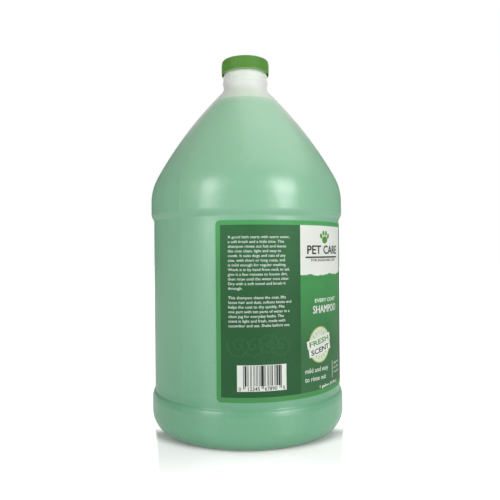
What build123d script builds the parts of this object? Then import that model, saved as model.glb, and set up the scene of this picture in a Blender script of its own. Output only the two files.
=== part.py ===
from build123d import *
from math import atan2, cos, degrees, radians, sin, sqrt
import os

# A one-gallon shampoo bottle: blow-moulded bottle, ribbed screw cap with a liner, wrap label, fill.
# It stands on z = 0 with its axis on Z, and the front of the label faces -Y. All in mm and degrees.

# Body: two bumper rings with a recessed label panel between them
bumper_radius = 76.2
panel_radius = 74.15
wall = 0.9

# Base: a push-up centre inside a flat standing ring
ring_inner_radius = 60.4
push_up_radius = 48.0
push_up_edge_height = 5.6
push_up_centre_height = 7.0
push_up_rounding = 7.0
ring_rounding = 2.5

# Corner from the standing ring to the lower bumper: a tight arc, then a wider one
low_corner_radius = 11.85
high_corner_radius = 17.1
corner_split_angle = 31.0

# Heights of the bumpers and of the ledges between them and the label panel. Each bumper leans in a
# little to its ledge radius, and then a steeper step goes down to the panel.
lower_bumper_top = 25.6
lower_ledge = 28.9
panel_bottom = 30.6
panel_top = 162.7
upper_ledge = 164.8
upper_bumper_bottom = 167.2
upper_bumper_top = 177.1
ledge_radius = 75.4
ledge_rounding = 2.0

# Shoulder: a round arc from the upper bumper, then a long shallow one up to the neck fillet
shoulder_radius = 40.55
shoulder_angle = 29.03
slope_radius = 324.9
neck_fillet_radius = 7.5

# Neck with its bulging bead, and the screw finish above it
neck_radius = 17.6
bead_height = 274.5
bead_bulge = 0.75
bead_half_width = 2.2
collar_radius = 17.9
collar_top = 280.4
finish_radius = 17.3
mouth_radius = 15.5
mouth_taper = 2.4
land_height = 289.8
land_rounding = 0.4

# Screw thread, six turns to the inch: one short ridge on the neck and one inside the cap
thread_pitch = 25.4 / 6
thread_turns = 1.1
ridge_overlap = 0.15
neck_ridge_start = 283.1
neck_ridge_crest_radius = 18.32
neck_ridge_root_half_width = 1.1
neck_ridge_crest_half_width = 0.45
cap_ridge_start = 282.9
cap_ridge_crest_radius = 17.55
cap_ridge_root_half_width = 0.85
cap_ridge_crest_half_width = 0.35
cap_ridge_drop = 1.5

# Cap, with a fine vertical grip all round
cap_radius = 19.2
cap_inner_radius = 18.5
cap_bottom = 281.7
cap_top = 292.1
cap_roof = 1.2
cap_edge_rounding = 0.9
grip_grooves = 100
grip_groove_radius = 0.3
grip_bottom_margin = 1.0
grip_top_margin = 1.3

# Liner disc between the cap's roof and the land of the neck
liner_radius = 18.2
liner_thickness = 1.0
liner_gap = 0.05

# Shampoo inside the bottle
fill_height = 257.0
fill_gap = 0.05

# Wrap label, stuck to the panel over its adhesive
label_bottom = 35.7
label_top = 159.5
label_angle = 136.0
label_corner_radius = 3.0
label_thickness = 0.15
adhesive_thickness = 0.05

os.makedirs("parts", exist_ok=True)

# ---- Bottle outline: where its arcs meet ---------------------------------------------------------
corner_split = radians(corner_split_angle)
high_corner_centre_r = bumper_radius - high_corner_radius
ring_outer_radius = high_corner_centre_r + (high_corner_radius - low_corner_radius) * cos(corner_split)
lower_bumper_bottom = low_corner_radius + (high_corner_radius - low_corner_radius) * sin(corner_split)

shoulder_centre_r = bumper_radius - shoulder_radius
slope_centre_r = shoulder_centre_r - (slope_radius - shoulder_radius) * cos(radians(shoulder_angle))
slope_centre_z = upper_bumper_top - (slope_radius - shoulder_radius) * sin(radians(shoulder_angle))
neck_centre_r = neck_radius + neck_fillet_radius
neck_rise = sqrt((slope_radius + neck_fillet_radius) ** 2 - (neck_centre_r - slope_centre_r) ** 2)
neck_foot = slope_centre_z + neck_rise
slope_end_angle = degrees(atan2(neck_rise, neck_centre_r - slope_centre_r))

# ---- Bottle body: the closed outside shape, from the push-up to the foot of the neck -------------
with BuildPart() as body_outside:
    with BuildSketch(Plane.XZ) as half_outline:
        with BuildLine():
            base = Polyline(
                (0, push_up_centre_height),
                (push_up_radius, push_up_edge_height),
                (ring_inner_radius, 0),
                (ring_outer_radius, 0),
            )
            CenterArc((ring_outer_radius, low_corner_radius), low_corner_radius, -90, 90 - corner_split_angle)
            corner = CenterArc(
                (high_corner_centre_r, lower_bumper_bottom), high_corner_radius,
                -corner_split_angle, corner_split_angle,
            )
            Polyline(
                corner @ 1,
                (bumper_radius, lower_bumper_top),
                (ledge_radius, lower_ledge),
                (panel_radius, panel_bottom),
                (panel_radius, panel_top),
                (ledge_radius, upper_ledge),
                (bumper_radius, upper_bumper_bottom),
                (bumper_radius, upper_bumper_top),
            )
            CenterArc((shoulder_centre_r, upper_bumper_top), shoulder_radius, 0, shoulder_angle)
            CenterArc(
                (slope_centre_r, slope_centre_z), slope_radius,
                shoulder_angle, slope_end_angle - shoulder_angle,
            )
            foot = CenterArc(
                (neck_centre_r, neck_foot), neck_fillet_radius,
                180 + slope_end_angle, -slope_end_angle,
            )
            Polyline(foot @ 1, (0, neck_foot), base @ 0)
        make_face()
        lower_step = half_outline.vertices().filter_by_position(Axis.Y, lower_bumper_top, panel_bottom)
        upper_step = half_outline.vertices().filter_by_position(Axis.Y, panel_top, upper_bumper_bottom)
        fillet(lower_step + upper_step, ledge_rounding)
        low_vertices = half_outline.vertices().filter_by_position(Axis.Y, 0, push_up_edge_height)
        fillet(low_vertices.filter_by_position(Axis.X, push_up_radius, push_up_radius), push_up_rounding)
        fillet(low_vertices.filter_by_position(Axis.X, ring_inner_radius, ring_inner_radius), ring_rounding)
    revolve(axis=Axis.Z)


def thread_ridge(radius, crest_radius, root_half_width, crest_half_width, start_height):
    """Return one thread ridge: a trapezoid standing on a wall of this radius, on a right-hand helix."""
    root = ridge_overlap if crest_radius < radius else -ridge_overlap
    with BuildPart() as ridge:
        with BuildLine(Plane.XY.offset(start_height)) as helix:
            Helix(thread_pitch, thread_pitch * thread_turns, radius)
        with BuildSketch(Plane(helix.line @ 0, x_dir=(1, 0, 0), z_dir=helix.line % 0)):
            with BuildLine():
                Polyline(
                    (root, -root_half_width),
                    (crest_radius - radius, -crest_half_width),
                    (crest_radius - radius, crest_half_width),
                    (root, root_half_width),
                    close=True,
                )
            make_face()
        sweep(path=helix.line, is_frenet=True)
    return ridge.part


# ---- Bottle: the body hollowed to an even wall, with the neck and its thread on top --------------
neck_ridge = thread_ridge(
    finish_radius, neck_ridge_crest_radius, neck_ridge_root_half_width,
    neck_ridge_crest_half_width, neck_ridge_start,
)
with BuildPart() as bottle:
    add(body_outside.part)
    offset(amount=-wall, openings=bottle.faces().sort_by(Axis.Z)[-1])
    with BuildSketch(Plane.XZ):
        with BuildLine():
            bore = Polyline(
                (mouth_radius, land_height),
                (mouth_radius, neck_foot + mouth_taper),
                (neck_radius - wall, neck_foot),
                (neck_radius, neck_foot),
                (neck_radius, bead_height - bead_half_width),
            )
            bead = ThreePointArc(
                bore @ 1,
                (neck_radius + bead_bulge, bead_height),
                (collar_radius, bead_height + bead_half_width),
            )
            Polyline(
                bead @ 1,
                (collar_radius, collar_top),
                (finish_radius, collar_top + collar_radius - finish_radius),
                (finish_radius, land_height),
                bore @ 0,
            )
        make_face()
    revolve(axis=Axis.Z)
    fillet(bottle.edges().group_by(Axis.Z)[-1], land_rounding)
    add(neck_ridge)

# ---- Shampoo: fills the bottle to its level, clear of the wall -----------------------------------
with BuildPart() as shampoo:
    add(body_outside.part)
    offset(amount=-(wall + fill_gap))
    split(bisect_by=Plane.XY.offset(fill_height), keep=Keep.BOTTOM)

# ---- Cap: a shallow cup with a rounded rim, a grooved grip and its own thread ridge --------------
grip_height = cap_top - grip_top_margin - cap_bottom - grip_bottom_margin
cap_ridge_phase = 360 * (cap_ridge_start - neck_ridge_start + cap_ridge_drop) / thread_pitch
cap_ridge = thread_ridge(
    cap_inner_radius, cap_ridge_crest_radius, cap_ridge_root_half_width,
    cap_ridge_crest_half_width, cap_ridge_start,
)
with BuildPart() as cap:
    with BuildSketch(Plane.XY.offset(cap_bottom)):
        Circle(cap_radius)
    extrude(amount=cap_top - cap_bottom)
    fillet(cap.edges().sort_by(Axis.Z)[-1], cap_edge_rounding)
    with BuildSketch(Plane.XY.offset(cap_bottom)):
        Circle(cap_inner_radius)
    extrude(amount=cap_top - cap_roof - cap_bottom, mode=Mode.SUBTRACT)
    with BuildSketch(Plane.XY.offset(cap_bottom + grip_bottom_margin)):
        with PolarLocations(cap_radius, grip_grooves):
            Circle(grip_groove_radius)
    extrude(amount=grip_height, mode=Mode.SUBTRACT)
    add(cap_ridge, rotation=(0, 0, cap_ridge_phase))

# ---- Liner disc ----------------------------------------------------------------------------------
with BuildPart() as cap_liner:
    with BuildSketch(Plane.XY.offset(land_height + liner_gap)):
        Circle(liner_radius)
    extrude(amount=liner_thickness)

# ---- Wrap label: a thin curved sheet with rounded corners ----------------------------------------
label_start = Vector(0, -1, 0).rotate(Axis.Z, -label_angle / 2)
label_inside = panel_radius + adhesive_thickness
with BuildPart() as label:
    with BuildSketch(Plane((0, 0, 0), x_dir=label_start, z_dir=label_start.cross(Vector(0, 0, 1)))):
        with Locations((label_inside, label_bottom)):
            Rectangle(label_thickness, label_top - label_bottom, align=Align.MIN)
    revolve(axis=Axis.Z, revolution_arc=label_angle)
    ends = label.edges().filter_by(GeomType.LINE).filter_by(lambda edge: edge.length < 2 * label_thickness)
    fillet(ends, label_corner_radius)

# ---- Files: one per piece ------------------------------------------------------------------------
bottle.part.label = "bottle"
shampoo.part.label = "shampoo"
cap.part.label = "cap"
cap_liner.part.label = "cap_liner"
label.part.label = "label"

export_step(bottle.part, "parts/bottle.step")
export_step(shampoo.part, "parts/shampoo.step")
export_step(cap.part, "parts/cap.step")
export_step(cap_liner.part, "parts/cap_liner.step")
export_step(label.part, "parts/label.step")
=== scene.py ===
import math
import random

import bpy
from mathutils import Matrix, Vector


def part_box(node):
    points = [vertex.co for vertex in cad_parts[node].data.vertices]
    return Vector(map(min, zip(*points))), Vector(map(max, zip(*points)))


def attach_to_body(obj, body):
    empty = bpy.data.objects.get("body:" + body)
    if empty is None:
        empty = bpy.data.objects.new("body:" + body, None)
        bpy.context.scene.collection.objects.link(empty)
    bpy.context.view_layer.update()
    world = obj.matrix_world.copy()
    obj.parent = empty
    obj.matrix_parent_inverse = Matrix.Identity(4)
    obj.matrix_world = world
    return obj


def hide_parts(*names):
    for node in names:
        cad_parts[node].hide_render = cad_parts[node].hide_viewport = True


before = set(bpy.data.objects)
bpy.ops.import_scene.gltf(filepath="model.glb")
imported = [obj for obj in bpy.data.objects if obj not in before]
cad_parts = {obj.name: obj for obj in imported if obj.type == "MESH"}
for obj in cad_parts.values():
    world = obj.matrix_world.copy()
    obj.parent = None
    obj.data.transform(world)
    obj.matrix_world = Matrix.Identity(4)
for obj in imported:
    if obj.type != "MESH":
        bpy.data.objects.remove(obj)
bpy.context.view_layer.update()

MM = 0.001

# ---- Sizes of the bottle, in millimetres, some read from the CAD parts in model.glb --------------
bottle_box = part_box("bottle")
label_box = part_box("label")
cap_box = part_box("cap")
shampoo_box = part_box("shampoo")

BUMPER_R = bottle_box[1].x / MM
LAND_Z = bottle_box[1].z / MM
FILL_Z = shampoo_box[1].z / MM
PANEL_R = BUMPER_R - 2.05
WALL = BUMPER_R - shampoo_box[1].x / MM - 0.05
NECK_R = 17.6
FINISH_R = 17.3
MOUTH_R = 15.5
CAP_R = cap_box[1].x / MM
CAP_Z = (cap_box[0].z / MM, cap_box[1].z / MM)
CAP_INNER_R = 18.5
PUSH_UP = 7.0
SHOULDER_Z = 177.1
THREAD_PITCH = 25.4 / 6
THREAD_TURNS = 1.1
NECK_THREAD_Z = 283.1
CAP_THREAD_Z = 282.9
LEDGE_R = 75.4
LOW_LEDGE_Z = (25.6, 28.9, 30.6)
HIGH_LEDGE_Z = (162.7, 164.8, 167.2)

LABEL_Z = (label_box[0].z / MM, label_box[1].z / MM)
FILM_R = PANEL_R + 0.2
LABEL_HALF = math.radians(68) * FILM_R
LABEL_BORDER = 3.2
LABEL_CORNER = 3.0
FRONT_HALF = math.radians(21.4) * FILM_R
INK_DEPTH = 0.012


# ---- Mesh helpers --------------------------------------------------------------------------------
def in_scene(name, data):
    """A new object with this data, linked into the scene."""
    thing = bpy.data.objects.new(name, data)
    bpy.context.scene.collection.objects.link(thing)
    return thing


def make_piece(name, points, faces, *materials, sharp=35):
    """A finished mesh object, its points given in millimetres."""
    mesh = bpy.data.meshes.new(name)
    mesh.from_pydata([(x * MM, y * MM, z * MM) for x, y, z in points], [], faces)
    mesh.validate()
    piece = in_scene(name, mesh)
    for material in materials:
        mesh.materials.append(material)
    mesh.shade_smooth()
    mesh.set_sharp_from_angle(angle=math.radians(sharp))
    return piece


def attach(piece, body, slot, *replaced):
    """Ride the piece on its body and hide the CAD nodes that it stands for. slot is not used."""
    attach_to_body(piece, body)
    if replaced:
        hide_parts(*replaced)
    return piece


def arc(centre, radius, start, end, steps):
    """Points of an arc in the r-z plane, from one angle to another in degrees."""
    angles = [math.radians(start + (end - start) * i / steps) for i in range(steps + 1)]
    return [(centre[0] + radius * math.cos(a), centre[1] + radius * math.sin(a)) for a in angles]


def soften(corner, before, after, radius, steps=5):
    """A rounded corner between two straight runs, as a short quadratic curve."""
    corner, before, after = Vector(corner), Vector(before), Vector(after)
    start = corner + (before - corner).normalized() * min(radius, (before - corner).length / 2)
    end = corner + (after - corner).normalized() * min(radius, (after - corner).length / 2)
    curve = []
    for i in range(steps + 1):
        t = i / steps
        point = start * (1 - t) ** 2 + corner * 2 * t * (1 - t) + end * t ** 2
        curve.append((point.x, point.y))
    return curve


def rounded_run(points, radius):
    """A polyline in the r-z plane with its inner corners softened."""
    run = [points[0]]
    for before, corner, after in zip(points, points[1:], points[2:]):
        run += soften(corner, before, after, radius)
    return run + [points[-1]]


def inset(outline, depth):
    """The outline moved sideways, to the left of its own direction, by depth."""
    moved = []
    for i, (r, z) in enumerate(outline):
        before = Vector(outline[max(i - 1, 0)])
        after = Vector(outline[min(i + 1, len(outline) - 1)])
        along = (after - before).normalized()
        moved.append((max(r - along.y * depth, 0.0), z + along.x * depth))
    return moved


def lathe(outline, angles, proud=None):
    """Turn an outline in the r-z plane round the Z axis. Its ends may lie on the axis.

    proud(angle, r, z) gives how far a point stands out from the turned surface.
    """
    points, rings = [], []
    for r, z in outline:
        if r < 1e-6:
            rings.append([len(points)])
            points.append((0.0, 0.0, z))
            continue
        ring = []
        for angle in angles:
            out = r + (proud(angle, r, z) if proud else 0.0)
            ring.append(len(points))
            points.append((out * math.cos(angle), out * math.sin(angle), z))
        rings.append(ring)
    faces = []
    for low, high in zip(rings, rings[1:]):
        if len(low) == len(high) == 1:
            continue
        for i in range(len(angles)):
            j = (i + 1) % len(angles)
            if len(low) == 1:
                faces.append((low[0], high[j], high[i]))
            elif len(high) == 1:
                faces.append((low[i], low[j], high[0]))
            else:
                faces.append((low[i], low[j], high[j], high[i]))
    return points, faces


def ring_angles(count):
    return [math.tau * i / count for i in range(count)]


def thread_ridge(root_r, crest_r, root_half, crest_half, start_z, start_angle, steps=110):
    """A screw ridge as a closed helical band that fades out at both ends."""
    points, faces = [], []
    for i in range(steps + 1):
        t = i / steps
        fade = min(1.0, t / 0.09, (1 - t) / 0.09)
        fade = math.sin(fade * math.pi / 2)
        angle = start_angle + math.tau * THREAD_TURNS * t
        z = start_z + THREAD_PITCH * THREAD_TURNS * t
        crest = root_r + (crest_r - root_r) * max(fade, 0.02)
        half = crest_half * max(fade, 0.3)
        for r, dz in ((root_r, -root_half), (crest, -half), (crest, half), (root_r, root_half)):
            points.append((r * math.cos(angle), r * math.sin(angle), z + dz))
    for i in range(steps):
        a, b = 4 * i, 4 * (i + 1)
        for k in range(4):
            n = (k + 1) % 4
            faces.append((a + k, b + k, b + n, a + n))
    faces += [(0, 1, 2, 3), (4 * steps + 3, 4 * steps + 2, 4 * steps + 1, 4 * steps)]
    if crest_r > root_r:
        return points, faces
    return points, [tuple(reversed(face)) for face in faces]


def joined(*shapes):
    """Several (points, faces) shapes as one."""
    points, faces = [], []
    for more_points, more_faces in shapes:
        start = len(points)
        points += more_points
        faces += [tuple(start + i for i in face) for face in more_faces]
    return points, faces


# ---- Shader groups -------------------------------------------------------------------------------
class Tree:
    """Short ways to add and link the nodes of one node tree."""

    def __init__(self, tree):
        self.tree = tree

    def put(self, socket, value):
        """Link a socket or set a plain value on an input."""
        if isinstance(value, bpy.types.NodeSocket):
            self.tree.links.new(value, socket)
        else:
            socket.default_value = value

    def fill(self, sockets, values):
        """Link or set several inputs by name."""
        for name, value in values.items():
            self.put(sockets[name], value)

    def node(self, kind, inputs=None, **settings):
        """A new node with these settings, and its inputs linked or set by name."""
        node = self.tree.nodes.new(kind)
        for key, value in settings.items():
            setattr(node, key, value)
        self.fill(node.inputs, inputs or {})
        return node

    def math(self, operation, *values, clamp=False):
        node = self.node("ShaderNodeMath", operation=operation, use_clamp=clamp)
        for socket, value in zip(node.inputs, values):
            self.put(socket, value)
        return node.outputs[0]

    def times(self, first, second):
        return self.math("MULTIPLY", first, second)

    def plus(self, first, second):
        return self.math("ADD", first, second)

    def minus(self, first, second):
        return self.math("SUBTRACT", first, second)

    def higher(self, first, second):
        return self.math("MAXIMUM", first, second)

    def step(self, value, low, high):
        """0 below low, 1 above high, smooth between."""
        limits = {"Value": value, "From Min": low, "From Max": high}
        return self.node("ShaderNodeMapRange", limits, interpolation_type="SMOOTHSTEP").outputs["Result"]

    def band(self, value, start, full, fading, end):
        """0 outside start to end, 1 from full to fading, smooth between."""
        return self.minus(self.step(value, start, full), self.step(value, fading, end))

    def scale(self, value, low, high):
        """Stretch a 0 to 1 value to run from low to high."""
        limits = {"Value": value, "To Min": low, "To Max": high}
        return self.node("ShaderNodeMapRange", limits).outputs["Result"]

    def mix(self, factor, first, second):
        colours = {"Factor": factor, "A": first, "B": second}
        return self.node("ShaderNodeMix", colours, data_type="RGBA").outputs["Result"]

    def noise(self, vector, size, detail=2.0, roughness=0.5):
        """Noise whose patches are about size across, in metres on Object coordinates."""
        values = {"Vector": vector, "Scale": 1 / size, "Detail": detail, "Roughness": roughness}
        return self.node("ShaderNodeTexNoise", values).outputs["Fac"]

    def stretched(self, vector, z):
        """Coordinates scaled along Z."""
        scaled = {"Vector": vector, "Scale": (1.0, 1.0, z)}
        return self.node("ShaderNodeMapping", scaled, vector_type="POINT").outputs["Vector"]

    def shape(self, kind, **inputs):
        """The geometry made by a Geometry Nodes node with these inputs, where _ stands for a space."""
        named = {key.replace("_", " "): value for key, value in inputs.items()}
        return self.node("GeometryNode" + kind, named).outputs[0]

    def vector(self, x=0.0, y=0.0, z=0.0):
        return self.node("ShaderNodeCombineXYZ", {"X": x, "Y": y, "Z": z}).outputs["Vector"]

    def split(self, vector):
        """The X, Y and Z of a vector."""
        return tuple(self.node("ShaderNodeSeparateXYZ", {"Vector": vector}).outputs)

    def facing(self):
        """0 where the surface faces the eye, 1 at its outline."""
        return self.node("ShaderNodeLayerWeight", {"Blend": 0.5}).outputs["Facing"]

    def group(self, group, **inputs):
        """The outputs of a node group with these inputs, where _ stands for a space."""
        named = {key.replace("_", " "): value for key, value in inputs.items()}
        return self.node("ShaderNodeGroup", named, node_tree=group).outputs


FLOAT = "NodeSocketFloat"


def socket_kind(value):
    """The kind of socket that holds a value."""
    if isinstance(value, tuple):
        return "NodeSocketVector" if len(value) == 3 else "NodeSocketColor"
    return "NodeSocketInt" if isinstance(value, int) else "NodeSocketFloat"


def new_group(name, kind, inputs, outputs):
    """A node group with named sockets. Inputs have a starting value and outputs have a kind.

    Returns its tree helper, what it is given and its results.
    """
    group = bpy.data.node_groups.new(name, kind)
    for socket_name, value in inputs.items():
        named_kind = isinstance(value, str)
        given_kind = value if named_kind else socket_kind(value)
        socket = group.interface.new_socket(socket_name, in_out="INPUT", socket_type=given_kind)
        if not named_kind:
            socket.default_value = value
    for socket_name, result_kind in outputs.items():
        group.interface.new_socket(socket_name, in_out="OUTPUT", socket_type=result_kind)
    given, result = group.nodes.new("NodeGroupInput"), group.nodes.new("NodeGroupOutput")
    return Tree(group), given.outputs, result.inputs


def moulded_skin_group():
    """Moulded polyethylene: soft waves from cooling, fine grain and a mottled gloss."""
    t, given, result = new_group(
        "moulded skin",
        "ShaderNodeTree",
        {"Position": (0, 0, 0), "Gloss roughness": 0.35, "Wave": 1.0, "Grain": 1.0},
        {"Mottle": FLOAT, "Roughness": FLOAT, "Height": FLOAT},
    )
    place, amount = given["Position"], given["Grain"]
    wave = t.noise(t.stretched(place, 0.6), 0.022, detail=2.5)
    mottle = t.noise(place, 0.002)
    grain = t.noise(place, 0.0007)
    spread = t.times(t.minus(mottle, 0.5), t.times(amount, 0.12))
    height = t.times(wave, t.times(given["Wave"], 0.9))
    height = t.plus(height, t.times(mottle, t.times(amount, 0.14)))
    height = t.plus(height, t.times(grain, t.times(amount, 0.02)))
    t.fill(result, {
        "Mottle": mottle,
        "Roughness": t.math("ADD", given["Gloss roughness"], spread, clamp=True),
        "Height": height,
    })
    return t.tree


def rubbed_edge_group():
    """Handling wear: fine scuffs where Amount is high, broken up by long scratches round the axis."""
    t, given, result = new_group(
        "rubbed edge",
        "ShaderNodeTree",
        {"Position": (0, 0, 0), "Amount": 0.5},
        {"Mask": FLOAT},
    )
    place = given["Position"]
    scuff = t.noise(t.stretched(place, 6.0), 0.012, detail=6, roughness=0.7)
    fine = t.noise(place, 0.0016, detail=3)
    broken = t.times(t.step(scuff, 0.5, 0.72), t.step(fine, 0.35, 0.7))
    t.put(result["Mask"], t.math("MULTIPLY", broken, given["Amount"], clamp=True))
    return t.tree


def printed_ink_group():
    """Ink laid on film: slightly uneven cover and a faint fibre in the finish."""
    t, given, result = new_group(
        "printed ink",
        "ShaderNodeTree",
        {"Position": (0, 0, 0), "Ink": (1, 1, 1, 1), "Unevenness": 0.1},
        {"Color": "NodeSocketColor", "Roughness": FLOAT, "Height": FLOAT},
    )
    cloud = t.noise(given["Position"], 0.018, detail=3)
    speck = t.noise(given["Position"], 0.0009)
    amount = t.plus(t.times(cloud, 0.7), t.times(speck, 0.3))
    shade = t.times(t.minus(amount, 0.5), t.times(given["Unevenness"], 3.0))
    tone = t.node("ShaderNodeHueSaturation", {"Color": given["Ink"], "Value": t.plus(1.0, shade)})
    t.fill(result, {
        "Color": tone.outputs["Color"],
        "Roughness": t.scale(speck, 0.42, 0.56),
        "Height": speck,
    })
    return t.tree


moulded_skin = moulded_skin_group()
rubbed_edge = rubbed_edge_group()
printed_ink = printed_ink_group()


# ---- Materials -----------------------------------------------------------------------------------
MILKY = (0.715, 0.765, 0.70, 1)
MILKY_TINTED = (0.60, 0.73, 0.57, 1)
# Painted rim light: the whitish colour the bottle's outline takes near the neck and the foot.
RIM_LIGHT_WHITE = (0.95, 0.97, 0.94, 1)
# Greens from the foot up to the shoulder: painted shading, lighter higher up as light from above falls on
# it.
GREEN_HIGH = (0.30, 0.55, 0.355, 1)
GREEN_MIDDLE = (0.235, 0.495, 0.315, 1)
GREEN_LOW = (0.15, 0.405, 0.235, 1)
LEDGE_SHADE_GREEN = (0.09, 0.32, 0.18, 1)
CAP_GLOW = (0.62, 0.85, 0.45, 1)
SCUFFED = (0.62, 0.74, 0.64, 1)

SHAMPOO_GREENS = ((0.17, 0.5, 0.27, 1), (0.24, 0.58, 0.34, 1))
FOAM_GREEN = (0.7, 0.85, 0.72, 1)

CAP_GREENS = ((0.102, 0.285, 0.043, 1), (0.134, 0.352, 0.06, 1))
CAP_SHADED = (0.03, 0.12, 0.014, 1)
CAP_LIP_HIGHLIGHT = (0.25, 0.52, 0.12, 1)
CAP_DARK_RIM = (0.02, 0.09, 0.015, 1)
CAP_RUBBED = (0.2, 0.42, 0.13, 1)

LINER_WHITES = ((0.8, 0.81, 0.78, 1), (0.9, 0.9, 0.88, 1))
LINER_PRESSED = (0.66, 0.72, 0.66, 1)


def new_material(name):
    """A new material. Returns it, its tree helper, its shader's inputs and Object coordinates."""
    material = bpy.data.materials.new(name)
    material.use_nodes = True
    t = Tree(material.node_tree)
    shader = next(n for n in material.node_tree.nodes if n.type == "BSDF_PRINCIPLED")
    return material, t, shader.inputs, t.node("ShaderNodeTexCoord").outputs["Object"]


def relief(t, height, depth):
    """A normal bent by a height. Depth is in metres for a height of 1."""
    return t.node("ShaderNodeBump", {"Strength": 1.0, "Distance": depth, "Height": height}).outputs["Normal"]


def axis_radius(t, place):
    """Distance from the bottle's axis and height, both in millimetres."""
    x, y, z = t.split(place)
    square = t.plus(t.math("POWER", x, 2.0), t.math("POWER", y, 2.0))
    return t.times(t.math("SQRT", square), 1 / MM), t.times(z, 1 / MM)


def bottle_plastic():
    """Natural polyethylene, milky above the fill and coloured by the shampoo below it."""
    material, t, look, place = new_material("milky bottle plastic")
    radius, height = axis_radius(t, place)
    grainy_shoulder = t.scale(t.step(height, 120.0, 230.0), 0.12, 1.0)
    smooth_neck = t.scale(t.step(height, 244.0, 256.0), 0.0, 0.8)
    grain = t.minus(grainy_shoulder, smooth_neck)
    skin = t.group(moulded_skin, Position=place, Gloss_roughness=0.31, Grain=grain)

    ripple = t.times(t.minus(t.noise(place, 0.012), 0.5), 1.2)
    level = t.plus(height, ripple)
    # Painted glow: just above the fill the milky wall is tinted green, as light from the shampoo below would
    # tint it.
    milk = t.mix(t.step(level, FILL_Z, FILL_Z + 12), MILKY_TINTED, MILKY)
    # Painted shading: the green runs darker towards the foot and lighter towards the shoulder, as light from
    # above falls on it.
    upper = t.mix(t.step(height, 165.0, FILL_Z - 4), GREEN_MIDDLE, GREEN_HIGH)
    green = t.mix(t.step(height, 5.0, 150.0), GREEN_LOW, upper)
    green = t.mix(t.scale(t.step(level, FILL_Z - 6, FILL_Z), 0.0, 0.22), green, MILKY)
    cloud = t.scale(skin["Mottle"], 0.95, 1.05)
    foot_shade = t.scale(t.step(height, 0.5, 9.0), 0.72, 1.0)
    toned = t.node("ShaderNodeHueSaturation", {
        "Color": t.mix(t.step(level, FILL_Z - 0.6, FILL_Z + 1.0), green, milk),
        "Value": t.times(cloud, foot_shade),
    })

    # Painted light: near the neck and the foot the outline turns whitish, as light shining through the
    # translucent wall would make it.
    rim_light_heights = t.higher(t.step(height, 205.0, 255.0), t.scale(t.step(height, 15.0, 55.0), 0.2, 0.0))
    painted_rim_light = t.times(t.step(t.facing(), 0.6, 0.99), rim_light_heights)
    coloured = t.mix(painted_rim_light, toned.outputs["Color"], RIM_LIGHT_WHITE)
    # Painted glow: the neck just under the cap is tinted light green, as light through the green cap would
    # tint it.
    under_cap = t.band(height, 277.5, 281.5, 283.0, 284.5)
    coloured = t.mix(t.times(under_cap, 0.15), coloured, CAP_GLOW)
    # Painted shade: the wall is darkened in the ledge above the lower bumper and in the ledge under the
    # upper bumper.
    low_ledge_shade = t.band(height, 29.0, 30.2, 33.0, 38.0)
    high_ledge_shade = t.band(height, 162.4, 163.2, 165.2, 169.0)
    coloured = t.mix(t.times(t.higher(low_ledge_shade, high_ledge_shade), 0.26), coloured, LEDGE_SHADE_GREEN)

    on_bumper = t.times(t.step(radius, BUMPER_R - 0.5, BUMPER_R - 0.05), 0.012)
    on_foot = t.scale(t.step(height, 0.1, 1.2), 0.6, 0.0)
    worn = t.group(rubbed_edge, Position=place, Amount=t.higher(on_bumper, on_foot))["Mask"]
    dull_neck = t.scale(t.step(height, 262.0, 272.0), 0.0, 0.18)
    t.fill(look, {
        "Base Color": t.mix(worn, coloured, SCUFFED),
        "Roughness": t.plus(skin["Roughness"], t.higher(t.times(worn, 0.2), dull_neck)),
        "IOR": 1.54,
        "Specular IOR Level": 0.75,
        "Subsurface Weight": 0.25,
        "Subsurface Radius": (0.6, 1.0, 0.6),
        "Subsurface Scale": 0.003,
        "Normal": relief(t, skin["Height"], 0.0006),
    })
    return material


def shampoo_liquid():
    """Pale green shampoo with a few bubbles left round its surface."""
    material, t, look, place = new_material("green shampoo")
    radius, height = axis_radius(t, place)
    bubbles = t.node("ShaderNodeTexVoronoi", {"Vector": place, "Scale": 420}).outputs["Distance"]
    foam = t.times(t.step(radius, 12.0, 20.0), t.step(t.noise(place, 0.01, detail=3), 0.45, 0.6))
    foam = t.times(foam, t.step(height, FILL_Z - 0.5, FILL_Z - 0.1))
    swirl = t.mix(t.noise(place, 0.03, detail=3), *SHAMPOO_GREENS)
    t.fill(look, {
        "Base Color": t.mix(t.times(foam, 0.6), swirl, FOAM_GREEN),
        "Roughness": t.scale(foam, 0.06, 0.3),
        "IOR": 1.36,
        "Normal": relief(t, t.times(bubbles, foam), 0.0006),
    })
    return material


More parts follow.
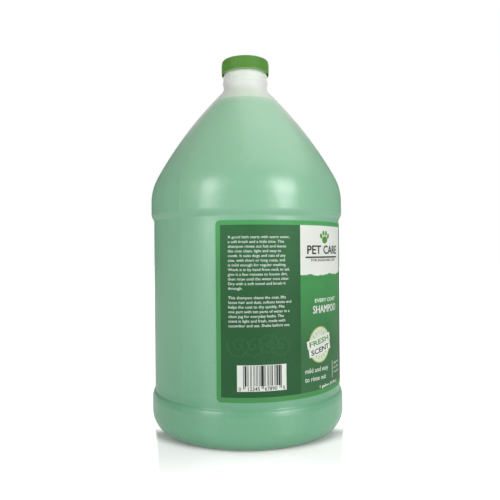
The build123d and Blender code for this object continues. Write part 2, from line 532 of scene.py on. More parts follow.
def cap_plastic():
    """Green moulded cap: satin, a little lighter where hands rub the ribs and the rim."""
    material, t, look, place = new_material("green cap plastic")
    radius, height = axis_radius(t, place)
    skin = t.group(moulded_skin, Position=place, Gloss_roughness=0.5, Wave=0.1)
    rib_top = t.step(radius, CAP_R - 0.25, CAP_R - 0.02)
    rim = t.step(height, CAP_Z[1] - 1.0, CAP_Z[1] - 0.2)
    worn = t.group(rubbed_edge, Position=place, Amount=t.higher(rib_top, rim))["Mask"]
    # Painted shade: darker between the ribs, below the rim.
    shade_between_ribs = t.band(radius, CAP_R - 0.9, CAP_R - 0.7, CAP_R - 0.3, CAP_R - 0.1)
    shade_between_ribs = t.times(shade_between_ribs, t.minus(1.0, rim))
    # Painted highlight: a lighter green band along the bottom edge of the skirt.
    painted_lip_highlight = t.scale(t.step(height, CAP_Z[0] + 0.2, CAP_Z[0] + 0.9), 0.45, 0.0)
    # Painted shade: a dark rim where the cap turns away at its outline, as dark surroundings reflecting
    # there would give.
    outline = t.times(t.step(t.facing(), 0.7, 0.97), 0.5)
    tone = t.mix(skin["Mottle"], *CAP_GREENS)
    tone = t.mix(t.times(shade_between_ribs, 0.35), tone, CAP_SHADED)
    tone = t.mix(painted_lip_highlight, tone, CAP_LIP_HIGHLIGHT)
    tone = t.mix(outline, tone, CAP_DARK_RIM)
    t.fill(look, {
        "Base Color": t.mix(t.times(worn, 0.6), tone, CAP_RUBBED),
        "Roughness": t.plus(skin["Roughness"], t.times(worn, 0.15)),
        "IOR": 1.45,
        "Specular IOR Level": 0.35,
        "Normal": relief(t, skin["Height"], 0.0002),
    })
    return material


def liner_foam():
    """White foam disc with fine closed cells and a pressed ring."""
    material, t, look, place = new_material("white liner foam")
    radius, _ = axis_radius(t, place)
    cells = t.node("ShaderNodeTexVoronoi", {"Vector": place, "Scale": 1800}).outputs["Distance"]
    ring = t.band(radius, MOUTH_R - 0.3, MOUTH_R, FINISH_R, FINISH_R + 0.3)
    tone = t.mix(t.noise(place, 0.006, detail=3), *LINER_WHITES)
    t.fill(look, {
        "Base Color": t.mix(t.times(ring, 0.25), tone, LINER_PRESSED),
        "Roughness": t.scale(cells, 0.55, 0.75),
        "Normal": relief(t, t.minus(cells, ring), 0.00012),
    })
    return material


def ink(name, colour, unevenness=0.06, colour_above=None, heights=None):
    """Printed film in one ink, or fading between two with height in millimetres."""
    material, t, look, place = new_material("label " + name)
    tone = colour
    if colour_above:
        _, height = axis_radius(t, place)
        tone = t.mix(t.step(height, *heights), colour, colour_above)
    layer = t.group(printed_ink, Position=place, Ink=tone, Unevenness=unevenness)
    t.fill(look, {
        "Base Color": layer["Color"],
        "Roughness": layer["Roughness"],
        "Specular IOR Level": 0.22,
        "Normal": relief(t, layer["Height"], 0.00003),
    })
    return material


plastic = bottle_plastic()
liquid = shampoo_liquid()
cap_green = cap_plastic()
foam = liner_foam()
# The film and the side panels run lighter towards the top: part print, part painted light from above.
film_green = ink("film, leaf green", (0.065, 0.27, 0.085, 1), 0.08, (0.075, 0.34, 0.11, 1), (120, 160))
panel_green = ink("film, deep green", (0.021, 0.098, 0.033, 1), 0.12, (0.032, 0.132, 0.047, 1), (90, 156))
front_green = ink("film, front green", (0.041, 0.145, 0.054, 1), 0.1, (0.054, 0.262, 0.076, 1), (62, 118))
paper_white = ink("print, soft white", (0.72, 0.75, 0.70, 1), 0.05)
text_white = ink("print, pale ink", (0.80, 0.88, 0.80, 1), 0.04)
text_dark = ink("print, dark ink", (0.02, 0.03, 0.02, 1), 0.1)
mark_green = ink("print, mark green", (0.085, 0.27, 0.04, 1), 0.1)
mark_olive = ink("print, olive", (0.25, 0.40, 0.06, 1), 0.1)
flesh_green = ink("print, cucumber flesh", (0.6, 0.66, 0.53, 1), 0.15)
sprig_green = ink("print, sprig green", (0.031, 0.124, 0.044, 1), 0.1)


# ---- Bottle --------------------------------------------------------------------------------------
def bottle_outline():
    """The outside of the bottle from the axis under its base up to the outer edge of its mouth."""
    corner_split = 31.0
    low_r, high_r = 11.85, 17.1
    turn = math.radians(corner_split)
    high_centre = (BUMPER_R - high_r, low_r + (high_r - low_r) * math.sin(turn))
    low_centre = (high_centre[0] + (high_r - low_r) * math.cos(turn), low_r)
    base = [(0.0, PUSH_UP), (16.0, 6.85), (32.0, 6.45), (48.0, 5.6), (60.4, 0.0), (low_centre[0], 0.0)]
    outline = rounded_run(base, radius=3.2)
    outline += arc(low_centre, low_r, -90, -corner_split, 10)[1:]
    outline += arc(high_centre, high_r, -corner_split, 0, 7)[1:]

    low_ledge = list(zip((BUMPER_R, LEDGE_R, PANEL_R), LOW_LEDGE_Z))
    high_ledge = list(zip((PANEL_R, LEDGE_R, BUMPER_R), HIGH_LEDGE_Z))
    walls = rounded_run([outline[-1]] + low_ledge + high_ledge + [(BUMPER_R, SHOULDER_Z)], radius=0.6)[1:]
    panel_rings = [(PANEL_R, 35.0 + 6.3 * i) for i in range(20)]
    split_at = next(i for i, p in enumerate(walls) if p[1] > 100)
    outline += walls[:split_at] + panel_rings + walls[split_at:]

    shoulder_r, shoulder_angle, slope_r, fillet_r = 40.55, 29.03, 324.9, 7.5
    shoulder_centre = (BUMPER_R - shoulder_r, SHOULDER_Z)
    lean = math.radians(shoulder_angle)
    slope_centre = (
        shoulder_centre[0] - (slope_r - shoulder_r) * math.cos(lean),
        shoulder_centre[1] - (slope_r - shoulder_r) * math.sin(lean),
    )
    reach = NECK_R + fillet_r - slope_centre[0]
    rise = math.sqrt((slope_r + fillet_r) ** 2 - reach ** 2)
    neck_foot = slope_centre[1] + rise
    end_angle = math.degrees(math.atan2(rise, reach))
    outline += arc(shoulder_centre, shoulder_r, 0, shoulder_angle, 14)[1:]
    outline += arc(slope_centre, slope_r, shoulder_angle, end_angle, 26)[1:]
    outline += arc((NECK_R + fillet_r, neck_foot), fillet_r, 180 + end_angle, 180, 10)[1:]

    bead_z, bead_tall, bead_proud = 272.3, 4.4, 0.6
    for i in range(11):
        t = i / 10
        outline.append((NECK_R + 0.15 * t + bead_proud * math.sin(math.pi * t), bead_z + bead_tall * t))
    outline += [(17.9, 277.6), (17.9, 280.1), (17.75, 280.5), (17.35, 280.9)]
    outline += [(FINISH_R, 281.3), (FINISH_R, 285.0)]
    outline += arc((FINISH_R - 0.4, LAND_Z - 0.4), 0.4, 0, 90, 4)
    return outline, neck_foot


def bottle_shell():
    """The bottle in one piece: outside, mouth, inside wall, mould seam and screw ridge."""
    outside, neck_foot = bottle_outline()
    body = [p for p in outside if p[1] < neck_foot - 0.01 or p[0] > 30]
    inside = inset(body, WALL)
    inside[0] = (0.0, inside[0][1])
    bore = arc((MOUTH_R + 0.4, LAND_Z - 0.4), 0.4, 90, 180, 4)
    bore += [(MOUTH_R, 283.0), (MOUTH_R, neck_foot + 2.4)]
    closed = outside + bore + list(reversed(inside))

    seam_width = math.radians(0.2)
    sides = (0, math.pi, math.tau)
    angles = [side + share * seam_width for side in sides[:2] for share in (-1, -0.5, 0, 0.5, 1)]
    angles += [a for a in ring_angles(184) if all(abs(a - side) > 1.5 * seam_width for side in sides)]
    angles = sorted(a % math.tau for a in angles)

    seamed = {p for p in outside if p[0] > 66 or 150 < p[1] < neck_foot + 10}

    def seam(angle, r, z):
        """The parting line of the mould: a low ridge up each side of the outside."""
        from_side = min(abs(angle - side) for side in sides)
        return 0.03 if from_side < seam_width * 0.75 and (r, z) in seamed else 0.0

    shell = lathe(closed, angles, seam)
    crest_r, root_half, crest_half = 18.32, 1.1, 0.45
    ridge = thread_ridge(FINISH_R - 0.15, crest_r, root_half, crest_half, NECK_THREAD_Z, 0.0)
    piece = make_piece("bottle_shell", *joined(shell, ridge), plastic, sharp=40)
    return attach(piece, "bottle", "bottle", "bottle")


bottle_shell()


def pinch_scar():
    """The welded seam left across the middle of the base where the mould pinched the tube shut."""
    length, width, height, steps = 46.0, 1.3, 0.5, 24
    points, faces = [], []
    for i in range(steps + 1):
        x = -length / 2 + length * i / steps
        taper = math.sqrt(max(0.0, 1 - (2 * x / length) ** 8))
        under = PUSH_UP - 0.35 * (abs(x) / 32) ** 2
        root, crest = under + 0.2, under - height * taper
        section = ((-width / 2, root), (-width / 4, crest), (width / 4, crest), (width / 2, root))
        points += [(x, y, z) for y, z in section]
    for i in range(steps):
        a, b = 4 * i, 4 * (i + 1)
        for k in range(4):
            n = (k + 1) % 4
            faces.append((a + k, a + n, b + n, b + k))
    faces += [(3, 2, 1, 0), (4 * steps, 4 * steps + 1, 4 * steps + 2, 4 * steps + 3)]
    piece = make_piece("base_pinch_scar", points, faces, plastic)
    return attach(piece, "bottle", "bottle")


pinch_scar()


def dress_cad_nodes():
    """Finishes for the CAD pieces that stay as they are."""
    for node, material in (("shampoo", liquid), ("cap_liner", foam)):
        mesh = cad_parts[node].data
        mesh.materials.clear()
        mesh.materials.append(material)


dress_cad_nodes()


# ---- Cap -----------------------------------------------------------------------------------------
def geometry_tree(name, inputs):
    """A Geometry Nodes tree with named inputs, the last of them its finish."""
    geometry = {"Geometry": "NodeSocketGeometry"}
    inputs = {**geometry, **inputs, "Finish": "NodeSocketMaterial"}
    return new_group(name, "GeometryNodeTree", inputs, geometry)


def finished(t, given, result, geometry):
    """End a tree with its material."""
    t.put(result["Geometry"], t.shape("SetMaterial", Geometry=geometry, Material=given["Finish"]))
    return t.tree


def grown_mesh(name, tree, values):
    """Run a Geometry Nodes tree with these input values and keep the result as a plain mesh object."""
    seed = in_scene(name + "_seed", bpy.data.meshes.new(name + "_seed"))
    modifier = seed.modifiers.new(name, "NODES")
    modifier.node_group = tree
    for item in tree.interface.items_tree:
        if item.in_out == "INPUT" and item.name in values:
            modifier[item.identifier] = values[item.name]
    bpy.context.view_layer.update()
    evaluated = seed.evaluated_get(bpy.context.evaluated_depsgraph_get())
    mesh = bpy.data.meshes.new_from_object(evaluated)
    mesh.name = name
    bpy.data.objects.remove(seed)
    return in_scene(name, mesh)


def rib_tree():
    """Upright ribs set round a circle, each one tapered off at both ends."""
    t, given, result = geometry_tree("cap ribs", {
        "Count": 100, "Ring radius": 0.0188, "Rib radius": 0.0004, "Rib length": 0.008,
        "Foot height": 0.2827,
    })
    ring = t.shape("MeshCircle", Vertices=given["Count"], Radius=given["Ring radius"])
    line = t.shape("CurvePrimitiveLine", End=t.vector(z=given["Rib length"]))
    line = t.shape("ResampleCurve", Curve=line, Count=9)
    along = t.node("GeometryNodeSplineParameter").outputs["Factor"]
    from_end = t.minus(1.0, t.math("ABSOLUTE", t.minus(t.times(along, 2.0), 1.0)))
    taper = t.math("POWER", t.math("MINIMUM", t.times(from_end, 4.0), 1.0), 0.5)
    girth = t.plus(t.times(taper, 0.9), 0.1)
    line = t.shape("SetCurveRadius", Curve=line, Radius=girth)
    section = t.shape("CurvePrimitiveCircle", Resolution=8, Radius=given["Rib radius"])
    rib = t.shape("CurveToMesh", Curve=line, Profile_Curve=section, Scale=girth, Fill_Caps=True)
    ribs = t.shape("RealizeInstances", Geometry=t.shape("InstanceOnPoints", Points=ring, Instance=rib))
    lifted = t.shape("Transform", Geometry=ribs, Translation=t.vector(z=given["Foot height"]))
    return finished(t, given, result, lifted)


def cap_shell():
    """The cap's smooth body: skirt, rounded rim, slightly dished top, inner wall and screw ridge."""
    low, high = CAP_Z
    core = CAP_R - 0.32
    outline = [(CAP_INNER_R, low + 0.25), (CAP_INNER_R + 0.2, low)]
    outline += [(CAP_R - 0.3, low)] + arc((CAP_R - 0.3, low + 0.3), 0.3, -90, 0, 4)[1:]
    outline += [(CAP_R, low + 0.75), (core, low + 0.95), (core, low + 5.0), (core, high - 1.25)]
    outline += arc((core - 0.9, high - 0.9), 0.9, 0, 90, 7)
    outline += [(14.6, high), (14.2, high - 0.25), (6.0, high - 0.32), (0.0, high - 0.32)]
    outline += [(0.0, high - 1.2), (CAP_INNER_R - 0.4, high - 1.2), (CAP_INNER_R, high - 1.6)]
    outline += [(CAP_INNER_R, low + 5.0), outline[0]]
    body = lathe(outline, ring_angles(128))
    phase = math.tau * (CAP_THREAD_Z - NECK_THREAD_Z + 1.5) / THREAD_PITCH
    crest_r, root_half, crest_half = 17.55, 0.85, 0.35
    ridge = thread_ridge(CAP_INNER_R + 0.15, crest_r, root_half, crest_half, CAP_THREAD_Z, phase)
    piece = make_piece("cap_shell", *joined(body, ridge), cap_green, sharp=40)
    return attach(piece, "cap", "cap", "cap")


cap_shell()
cap_ribs = grown_mesh("cap_ribs", rib_tree(), {
    "Count": 100, "Ring radius": (CAP_R - 0.36) * MM, "Rib radius": 0.36 * MM,
    "Rib length": 8.2 * MM, "Foot height": (CAP_Z[0] + 0.75) * MM, "Finish": cap_green,
})
cap_ribs.data.shade_smooth()
attach(cap_ribs, "cap", "cap")


# ---- Label ---------------------------------------------------------------------------------------
def wrap(across, height, lift=0.0):
    """A point of the label: across to the right of the front's centre, height above the foot, in mm."""
    angle = across / FILM_R
    return ((FILM_R + lift) * math.sin(angle), -(FILM_R + lift) * math.cos(angle), height)


def slab(left, right, low, high, front, back, columns=60, rows=8):
    """A thin curved slab on the label. low and high are heights, or functions of the place across."""
    low_at = low if callable(low) else lambda across: low
    high_at = high if callable(high) else lambda across: high
    stops = columns
    if not isinstance(columns, list):
        stops = [left + (right - left) * i / columns for i in range(columns + 1)]
    points, faces = [], []
    for lift in (front, back):
        for across in stops:
            bottom, top = low_at(across), high_at(across)
            points += [wrap(across, bottom + (top - bottom) * k / rows, lift) for k in range(rows + 1)]
    wide, tall = len(stops), rows + 1
    behind = wide * tall
    for i in range(wide - 1):
        for k in range(rows):
            a, b = i * tall + k, (i + 1) * tall + k
            faces.append((a, b, b + 1, a + 1))
            faces.append((behind + a + 1, behind + b + 1, behind + b, behind + a))
    rim = [i * tall for i in range(wide)] + [(wide - 1) * tall + k for k in range(1, tall)]
    rim += [i * tall + rows for i in reversed(range(wide - 1))] + [k for k in reversed(range(1, rows))]
    for a, b in zip(rim, rim[1:] + rim[:1]):
        faces.append((b, a, behind + a, behind + b))
    return points, faces


def printed(name, material, *shapes):
    """Shapes printed on the label in one ink, as one piece."""
    return attach(make_piece(name, *joined(*shapes), material), "bottle", "label")


def corner_bounds(left, right, low, high, radius):
    """Bottom and top of a rectangle with rounded corners, as functions of the place across."""
    def cut(across):
        from_end = min(across - left, right - across)
        if from_end >= radius:
            return 0.0
        return radius - math.sqrt(max(0.0, radius ** 2 - (radius - from_end) ** 2))
    return (lambda across: low + cut(across)), (lambda across: high - cut(across))


def rounded_stops(left, right, radius, middle):
    """Columns for a rounded rectangle: close together in its corners, even between them."""
    corner = [radius * (1 - math.cos(math.pi / 2 * i / 8)) for i in range(9)] if radius else [0.0]
    inner_left, inner_right = left + radius, right - radius
    between = [inner_left + (inner_right - inner_left) * i / middle for i in range(1, middle)]
    return [left + c for c in corner] + between + [right - c for c in reversed(corner)]


def rounded_slab(left, right, low, high, radius, front, back, middle=60):
    """A slab with round corners."""
    bottom, top = corner_bounds(left, right, low, high, radius)
    return slab(left, right, bottom, top, front, back, columns=rounded_stops(left, right, radius, middle))


def label_pieces():
    """The film and its big printed areas: border, two side panels, front panel and torn white block."""
    film_low, film_high = LABEL_Z
    low, high = film_low + LABEL_BORDER + 0.3, film_high - LABEL_BORDER
    side = LABEL_HALF - LABEL_BORDER
    film = rounded_slab(-LABEL_HALF, LABEL_HALF, film_low, film_high, LABEL_CORNER, 0.0, -0.15, 140)
    attach(make_piece("label_film", *film, film_green), "bottle", "label", "label")
    areas = (
        ("label_panel_left", panel_green, -side, -FRONT_HALF),
        ("label_panel_right", panel_green, FRONT_HALF, side),
        ("label_front", front_green, -FRONT_HALF, FRONT_HALF),
    )
    for name, material, left, right in areas:
        printed(name, material, slab(left, right, low, high, 0.02, -0.03, columns=50))

    rough = random.Random(11)
    step, tear_height, drift, torn = 0.35, 121.3, 0.0, []
    count = int(2 * FRONT_HALF / step)
    for i in range(count + 1):
        drift = 0.82 * drift + rough.uniform(-0.33, 0.33)
        torn.append(tear_height + drift + rough.uniform(-0.12, 0.12) + 0.35 * math.sin(i * 0.09))

    def torn_edge(across):
        place = (across + FRONT_HALF) / (2 * FRONT_HALF) * count
        i = min(int(place), count - 1)
        return torn[i] + (torn[i + 1] - torn[i]) * (place - i)

    torn_block = slab(-FRONT_HALF, FRONT_HALF, torn_edge, high, 0.035, 0.0, columns=count, rows=6)
    printed("label_white_block", paper_white, torn_block)


label_pieces()


def turned(x, y, turn):
    """A flat point turned about the origin by an angle in radians."""
    return x * math.cos(turn) - y * math.sin(turn), x * math.sin(turn) + y * math.cos(turn)


def text_piece(name, lines, size, material, lift=0.05, bold=0.0, squeeze=1.0, width=None, turn=0.0):
    """Lines of print as one mesh wrapped on the label. Each line is (words, across, height, align).

    bold fattens the strokes and squeeze narrows the letters. width sets how wide each line is, in mm.
    """
    points, faces = [], []
    for words, across, height, align in lines:
        curve = bpy.data.curves.new("print", "FONT")
        curve.body = words
        curve.size = size
        curve.align_x = align
        curve.offset = bold
        curve.resolution_u = 2
        curve.extrude = INK_DEPTH
        holder = in_scene("print", curve)
        bpy.context.view_layer.update()
        mesh = bpy.data.meshes.new_from_object(holder.evaluated_get(bpy.context.evaluated_depsgraph_get()))
        spread = squeeze
        if width:
            span = max(v.co.x for v in mesh.vertices) - min(v.co.x for v in mesh.vertices)
            spread = width / span
        start = len(points)
        for v in mesh.vertices:
            x, y = turned(v.co.x * spread, v.co.y, turn)
            points.append(wrap(across + x, height + y, lift + v.co.z))
        faces += [tuple(start + i for i in p.vertices) for p in mesh.polygons]
        bpy.data.objects.remove(holder)
        bpy.data.curves.remove(curve)
        bpy.data.meshes.remove(mesh)
    piece = make_piece(name, points, faces, material, sharp=30)
    return attach(piece, "bottle", "label")


LEFT_WORDS = """A good bath starts with warm water,
a soft brush and a little time. This
shampoo rinses out fast and leaves
the coat clean, light and easy to
comb. It suits dogs and cats of any
size, with short or long coats, and
is mild enough for regular washing.
Work it in by hand from neck to tail,
give it a few minutes to loosen dirt,
then rinse until the water runs clear.
Dry with a soft towel and brush it
through.

This shampoo cleans the coat, lifts
loose hair and dust, softens knots and
helps the coat to dry quickly. Mix
one part with ten parts of water in a
clean jug for everyday baths. The
scent is light and fresh, made with
cucumber and oat. Shake before use.""".split("\n")
RIGHT_WORDS = """How to use

Wet the coat all over with warm water.
Pour a little shampoo into the hands
and work it in from the neck to the
tail. Leave it on for a few minutes,
then rinse with plenty of warm water.
Repeat on muddy legs and paws. Dry
with a towel and brush the coat out.

Made with

Water, mild cleansers from coconut,
oat extract, cucumber extract, salt,
glycerine and a light fresh scent.""".split("\n")


def label_words():
    """The small print on both side panels and the words on the front."""
    top_line, line_step = 147.1, 3.165
    for side, column, across in (("left", LEFT_WORDS, -79.7), ("right", RIGHT_WORDS, 34.5)):
        places = [(words, across, top_line - line_step * i, "LEFT") for i, words in enumerate(column)]
        lines = [line for line in places if line[0]]
        text_piece("label_words_" + side, lines, 2.75, text_white, squeeze=1.05)

    title = [("PET CARE", -22.2, 136.1, "LEFT")]
    text_piece("label_pet_care", title, 8.6, text_dark, bold=0.15, width=39.8, lift=0.13)
    pets = [("FOR DOGS AND CATS", -2.0, 130.8, "CENTER")]
    text_piece("label_for", pets, 2.5, text_dark, bold=0.06, width=32.0, lift=0.06)
    coat = [("EVERY COAT", -0.6, 101.6, "CENTER")]
    text_piece("label_coat", coat, 3.7, text_white, bold=0.05, width=28.0)
    struck = [("SHAMPOO", -0.8 + shift, 93.8, "CENTER") for shift in (-0.17, 0.0, 0.17)]
    text_piece("label_shampoo", struck, 7.9, paper_white, width=31.2, lift=0.09)
    promise = [("mild and easy", -24.4, 52.2, "LEFT"), ("to rinse out", -24.4, 46.2, "LEFT")]
    text_piece("label_promise", promise, 5.0, text_white, squeeze=0.93)
    small = (("shake well", 54.0), ("mix 10 to 1", 50.6), ("rinse well", 47.2))
    text_piece("label_small", [(words, 10.6, height, "LEFT") for words, height in small], 2.6, text_white)
    contents = [("1 gallon (3.78 L)", 3.0, 40.1, "CENTER")]
    text_piece("label_contents", contents, 2.8, text_white, bold=0.04, width=26.0)


label_words()


def flat_shape(outline, lift, thickness=0.02):
    """A closed thin slab with this outline, a convex list of (across, height), wrapped on the label."""
    count, rings = len(outline), 6
    centre = [sum(values) / count for values in zip(*outline)]
    points, faces = [], []
    for side in (lift + thickness, lift):
        for ring in range(1, rings + 1):
            share = ring / rings
            for place in outline:
                inner = [middle + (at - middle) * share for middle, at in zip(centre, place)]
                points.append(wrap(*inner, side))
        points.append(wrap(*centre, side))
    block = rings * count + 1
    for side, flip in ((0, False), (block, True)):
        for i in range(count):
            j = (i + 1) % count
            tip = (side + i, side + j, side + block - 1)
            faces.append(tuple(reversed(tip)) if flip else tip)
            for ring in range(rings - 1):
                a = side + ring * count
                quad = (a + i, a + count + i, a + count + j, a + j)
                faces.append(tuple(reversed(quad)) if flip else quad)
    edge = (rings - 1) * count
    for i in range(count):
        j = (i + 1) % count
        faces.append((edge + i, block + edge + i, block + edge + j, edge + j))
    return points, faces


def placed(centre, shape, turn):
    """A flat outline turned by an angle in degrees and moved to its centre."""
    spun = [turned(x, y, math.radians(turn)) for x, y in shape]
    return [(centre[0] + x, centre[1] + y) for x, y in spun]


def oval(centre, half_width, half_height, turn=0.0, count=28):
    """An oval outline, turned by an angle in degrees."""
    shape = [(half_width * math.cos(a), half_height * math.sin(a)) for a in ring_angles(count)]
    return placed(centre, shape, turn)


def slanted_bar(centre, half_wide, half_tall, turn, shift=0.0):
    """The outline of a bar turned by an angle in degrees about a centre."""
    corners = [(half_wide * x, half_tall * y) for x, y in ((-1, -1), (1, -1), (1, 1), (-1, 1))]
    shape = []
    for (x0, y0), (x1, y1) in zip(corners, corners[1:] + corners[:1]):
        shape += [(x0 + (x1 - x0) * k / 8, y0 + (y1 - y0) * k / 8 + shift) for k in range(8)]
    return placed(centre, shape, turn)


def front_marks():
    """Paw print, rule and divider on the front of the label."""
    centre = (-2.3, 146.2)
    pads = [oval(centre, 3.5, 2.6)]
    for offset, rise, lean in ((-4.6, 2.7, 22), (-1.7, 4.8, 8), (1.7, 4.8, -8), (4.6, 2.7, -22)):
        pads.append(oval((centre[0] + offset, centre[1] + rise), 1.3, 1.95, lean, 16))
    printed("label_paw_print", mark_green, *[flat_shape(pad, 0.05) for pad in pads])
    printed("label_rule", text_dark, slab(-23.2, 18.6, 133.2, 134.3, 0.062, 0.03, columns=24, rows=1))
    printed("label_divider", text_white, slab(7.6, 8.1, 44.5, 57.0, 0.06, 0.02, columns=2, rows=4))


front_marks()


def badge():
    """A round slice of cucumber with two slanted bands of words across it."""
    centre, tilt = (-9.0, 71.3), 10
    printed("badge_rind", mark_olive, flat_shape(oval(centre, 12.3, 13.2, 0, 56), 0.03))
    printed("badge_flesh", flesh_green, flat_shape(oval(centre, 11.5, 12.4, 0, 56), 0.045))
    seeds = []
    for ring, count, size in ((4.2, 9, (0.38, 1.3)), (8.6, 18, (0.3, 1.7))):
        for i in range(count):
            a = math.tau * (i + 0.5) / count
            place = (centre[0] + ring * math.sin(a), centre[1] + 1.07 * ring * math.cos(a))
            seeds.append(flat_shape(oval(place, *size, -math.degrees(a), 10), 0.055, 0.015))
    printed("badge_seeds", mark_olive, *seeds)
    bands = [slanted_bar(centre, *sizes) for sizes in ((13.0, 2.9, tilt, 2.6), (12.4, 2.9, tilt, -3.6))]
    printed("badge_bands", paper_white, *[flat_shape(band, 0.07) for band in bands])
    turn = math.radians(tilt)
    scent_words = (("FRESH", 0.6, mark_green, 22.0), ("SCENT", -5.5, text_dark, 21.0))
    for words, shift, material, width in scent_words:
        across, height = centre[0] - shift * math.sin(turn), centre[1] + shift * math.cos(turn)
        line = [(words, across, height, "CENTER")]
        settings = {"bold": 0.12, "width": width, "turn": turn, "lift": 0.105}
        text_piece("badge_" + words.lower(), line, 5.2, material, **settings)


badge()


def wrapped(t, given, geometry, flatten=1.0):
    """Bend flat geometry round the label: X goes round it, Y becomes height and Z stands out from it."""
    x, y, z = t.split(t.node("GeometryNodeInputPosition").outputs["Position"])
    angle = t.math("DIVIDE", x, given["Film radius"])
    radius = t.plus(t.plus(given["Film radius"], given["Lift"]), t.times(z, flatten))
    backward = t.times(t.times(radius, t.math("COSINE", angle)), -1.0)
    around = t.vector(t.times(radius, t.math("SINE", angle)), backward, y)
    return t.shape("SetPosition", Geometry=geometry, Position=around)


def row_of_points(t, count, left, height, step):
    """Points in a row along X."""
    row = {"Count": count, "Start Location": t.vector(left, height), "Offset": t.vector(step)}
    return t.node("GeometryNodeMeshLine", row, mode="OFFSET").outputs["Mesh"]


def random_turn(t, seed, least, most):
    """A random turn about Z for each point."""
    limits = {"Min": (0, 0, least), "Max": (0, 0, most), "Seed": seed}
    return t.node("FunctionNodeRandomValue", limits, data_type="FLOAT_VECTOR").outputs[0]


def bar_code_tree():
    """A row of places, about half of them filled with an upright bar, wrapped round the label."""
    t, given, result = geometry_tree("bar code", {
        "Modules": 72, "Left": -0.07, "Module width": 0.00037, "Bar height": 0.012,
        "Middle height": 0.053, "Film radius": 0.0743, "Lift": 0.00007, "Seed": 5,
    })
    width = given["Module width"]
    row = row_of_points(t, given["Modules"], given["Left"], given["Middle height"], width)
    chance = {"Probability": 0.5, "Seed": given["Seed"]}
    filled = t.node("FunctionNodeRandomValue", chance, data_type="BOOLEAN").outputs[3]
    bar = t.shape("MeshCube", Size=t.vector(width, given["Bar height"], 0.00002))
    bars = t.shape("InstanceOnPoints", Points=row, Selection=filled, Instance=bar)
    bars = t.shape("RealizeInstances", Geometry=bars)
    return finished(t, given, result, wrapped(t, given, bars))


def sprig_tree():
    """Curled tendrils with small leaves, set in a row with random turns, wrapped round the label."""
    t, given, result = geometry_tree("leafy scrolls", {
        "Scrolls": 5, "Left": -0.074, "Step": 0.008, "Height": 0.0745, "Scroll radius": 0.0065,
        "Leaves": 12, "Film radius": 0.0743, "Lift": 0.00004, "Seed": 3,
    })
    curl = t.shape(
        "CurveSpiral", Resolution=18, Rotations=1.7, Start_Radius=0.0006,
        End_Radius=given["Scroll radius"], Height=0.0,
    )
    section = t.shape("CurvePrimitiveCircle", Resolution=4, Radius=0.00022)
    vine = t.shape("CurveToMesh", Curve=curl, Profile_Curve=section, Fill_Caps=True)
    buds = t.node("GeometryNodeCurveToPoints", {"Curve": curl, "Count": given["Leaves"]}).outputs
    leaf = t.shape("MeshCylinder", Vertices=8, Radius=0.001, Depth=0.0004)
    aligned = t.node("FunctionNodeAlignRotationToVector", {"Vector": buds["Tangent"]}, axis="X").outputs[0]
    lean = {"Rotation": aligned, "Rotate By": random_turn(t, given["Seed"], -1.3, 1.3)}
    lean = t.node("FunctionNodeRotateRotation", lean, rotation_space="LOCAL").outputs[0]
    leaves = t.shape(
        "InstanceOnPoints", Points=buds["Points"], Instance=leaf, Rotation=lean, Scale=(1.5, 0.55, 1.0),
    )
    scroll = t.node("GeometryNodeJoinGeometry")
    t.put(scroll.inputs["Geometry"], vine)
    t.put(scroll.inputs["Geometry"], leaves)
    row = row_of_points(t, given["Scrolls"], given["Left"], given["Height"], given["Step"])
    spin = random_turn(t, given["Seed"], 0.0, 6.2)
    placed_scrolls = t.shape("InstanceOnPoints", Points=row, Instance=scroll.outputs[0], Rotation=spin)
    real = t.shape("RealizeInstances", Geometry=placed_scrolls)
    return finished(t, given, result, wrapped(t, given, real, flatten=0.06))


scrolls = grown_mesh("label_scrolls", sprig_tree(), {
    "Scrolls": 4, "Left": -72.0 * MM, "Step": 9.7 * MM, "Height": 74.3 * MM, "Scroll radius": 8.6 * MM,
    "Leaves": 19, "Film radius": FILM_R * MM, "Lift": 0.035 * MM, "Seed": 4, "Finish": sprig_green,
})
attach(scrolls, "bottle", "label")


def bar_code():
    """The white block, its bars and a made-up number."""
    left, right, low, high = -74.0, -39.6, 43.4, 61.2
    printed("bar_code_block", paper_white, slab(left, right, low, high, 0.04, 0.0, columns=30, rows=4))
    bars = grown_mesh("bar_code_bars", bar_code_tree(), {
        "Modules": 72, "Left": (left + 4.3) * MM, "Module width": 0.37 * MM, "Bar height": 13.9 * MM,
        "Middle height": 53.85 * MM, "Film radius": FILM_R * MM, "Lift": 0.055 * MM,
        "Seed": 150, "Finish": text_dark,
    })
    attach(bars, "bottle", "label")
    places = (left + 4.1, left + 5.1, -57.3, -56.3, right - 5.1, right - 4.1)
    guards = [slab(across, across + 0.5, 45.0, 60.8, 0.06, 0.03, columns=1, rows=2) for across in places]
    printed("bar_code_guards", text_dark, *guards)
    digits = [("0", left + 1.9, 43.9, "CENTER"), ("12345", left + 11.2, 43.9, "CENTER"),
              ("67890", right - 11.2, 43.9, "CENTER"), ("5", right - 1.9, 43.9, "CENTER")]
    text_piece("bar_code_digits", digits, 3.6, text_dark, bold=0.05)


bar_code()


# ---- Room, lights and camera ---------------------------------------------------------------------
CAMERA_AZIMUTH = -51.5


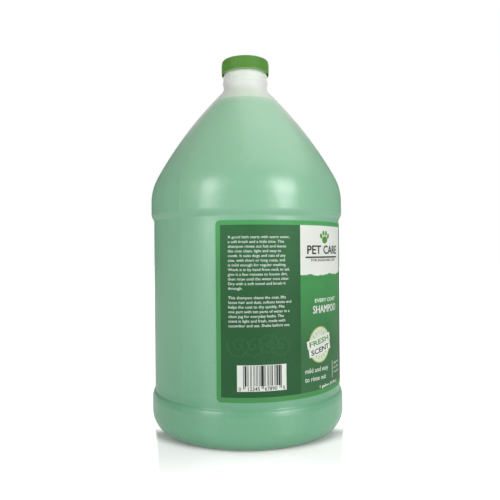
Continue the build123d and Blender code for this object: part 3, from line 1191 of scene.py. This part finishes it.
def floor():
    """A large plain pale floor that glows, with a painted soft shadow round the foot and in a band behind
    and before it.
    """
    half, sunk = 4000.0, -0.05
    points = [(x, y, sunk) for x, y in ((-half, -half), (half, -half), (half, half), (-half, half))]
    material, t, look, place = new_material("pale floor")
    axes = {"Vector": place, "Rotation": (0, 0, math.radians(CAMERA_AZIMUTH)), "Scale": (1.15, 0.85, 1.0)}
    sides = t.node("ShaderNodeMapping", axes, vector_type="TEXTURE").outputs["Vector"]
    radius, _ = axis_radius(t, sides)
    x, y, _ = t.split(sides)
    across = t.math("ABSOLUTE", t.minus(x, 0.0012))
    forward = t.times(y, -1.0)
    along = t.math("ABSOLUTE", forward)
    # Painted shadow: the floor's glow is dimmed round the foot, and more towards its sides, like a soft
    # contact shadow.
    shadow_round_foot = t.scale(t.step(radius, 69.0, 82.0), 0.11, 0.36)
    painted_contact_shadow = t.minus(shadow_round_foot, t.scale(t.step(across, 0.01, 0.045), 0.0, 0.08))
    from_band = t.plus(across, t.times(along, 0.14))
    beside = t.times(t.scale(t.step(forward, 0.012, 0.036), 1.0, 0.0), t.step(across, 0.05, 0.058))
    open_floor = t.higher(t.step(from_band, 0.0655, 0.0685), t.step(along, 0.075, 0.25))
    open_floor = t.higher(open_floor, beside)
    glow = t.plus(painted_contact_shadow, t.times(open_floor, t.minus(1.0, painted_contact_shadow)))
    seen = t.node("ShaderNodeLightPath").outputs["Is Camera Ray"]
    t.fill(look, {
        "Base Color": t.mix(t.noise(place, 0.4), (0.93, 0.93, 0.93, 1), (0.95, 0.95, 0.95, 1)),
        "Roughness": 0.28,
        "Emission Color": (1, 0.95, 0.965, 1),
        "Emission Strength": t.times(t.scale(seen, 0.15, 1.0), glow),
    })
    make_piece("floor", points, [(0, 1, 2, 3)], material)


def soft_box(name, azimuth, elevation, distance, width, height, power):
    """A rectangular soft light aimed at the middle of the bottle. Azimuth 0 is in front of the label."""
    a, e = math.radians(azimuth), math.radians(elevation)
    light = bpy.data.lights.new(name, "AREA")
    light.shape = "RECTANGLE"
    light.size, light.size_y, light.energy = width, height, power
    lamp = in_scene(name, light)
    target = Vector((0, 0, 0.15))
    back = Vector((math.sin(a) * math.cos(e), -math.cos(a) * math.cos(e), math.sin(e)))
    lamp.location = target + back * distance
    lamp.rotation_euler = back.to_track_quat("Z", "Y").to_euler()


def studio():
    """Soft boxes to the left and right of the camera, one overhead, and a plain white surround."""
    soft_box("right_soft_box", CAMERA_AZIMUTH + 43, 19, 1.2, 0.44, 0.66, 7.3)
    soft_box("left_soft_box", CAMERA_AZIMUTH - 42, 19, 1.2, 0.44, 0.66, 5.1)
    soft_box("top_soft_box", CAMERA_AZIMUTH + 105, 70, 1.5, 1.5, 1.5, 6.2)
    world = bpy.data.worlds.new("studio")
    bpy.context.scene.world = world
    world.use_nodes = True
    t = Tree(world.node_tree)
    surround = next(n for n in world.node_tree.nodes if n.type == "BACKGROUND")
    _, _, upward = t.split(t.node("ShaderNodeTexCoord").outputs["Generated"])
    sky = t.mix(t.step(upward, 0.05, 0.9), (0.14, 0.14, 0.14, 1), (0.30, 0.30, 0.30, 1))
    seen = t.node("ShaderNodeLightPath").outputs["Is Camera Ray"]
    t.put(surround.inputs["Color"], t.mix(seen, sky, (1, 1, 1, 1)))
    bpy.context.scene.view_settings.view_transform = "Standard"


def camera():
    """Level with the middle of the bottle, turned a little to its left."""
    distance, height, roll = 0.4283, 0.1374, 0.45
    a = math.radians(CAMERA_AZIMUTH)
    data = bpy.data.cameras.new("camera")
    data.sensor_width = 36
    data.lens = 37.74
    data.shift_x, data.shift_y = 0.0068, 0.0052
    data.clip_start = 0.01
    eye = in_scene("camera", data)
    eye.location = (math.sin(a) * distance, -math.cos(a) * distance, height)
    level = Matrix.Rotation(a, 4, "Z") @ Matrix.Rotation(math.pi / 2, 4, "X")
    eye.rotation_euler = (level @ Matrix.Rotation(math.radians(-roll), 4, "Z")).to_euler()
    bpy.context.scene.camera = eye


floor()
studio()
camera()
